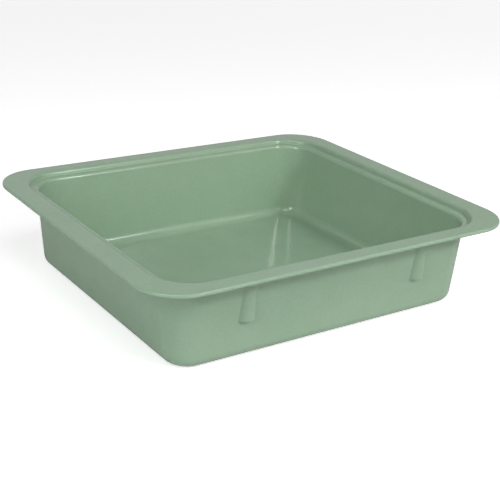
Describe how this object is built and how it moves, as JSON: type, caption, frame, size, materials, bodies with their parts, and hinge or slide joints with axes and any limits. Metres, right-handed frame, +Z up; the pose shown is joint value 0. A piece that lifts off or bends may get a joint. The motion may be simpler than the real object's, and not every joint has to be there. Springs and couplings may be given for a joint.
{
  "type": "instrument tub",
  "caption": "Shallow rectangular plastic tub with a wide flat flange, a stepped lid ledge, drafted walls, a filleted floor and half-round stacking lugs.",
  "frame": {"origin": "centre of the flat underside, on the table plane", "axes": "+Z up out of the open top, +X along the longer side of the flange, +Y from the front wall to the back wall; a half turn about Z leaves the tub unchanged"},
  "size_m": [0.3086, 0.2686, 0.068],
  "materials": {
    "tub_plastic": "sage green moulded plastic, semi-gloss"
  },
  "bodies": {
    "root": {"tub": "tub_plastic"}
  },
  "joints": []
}
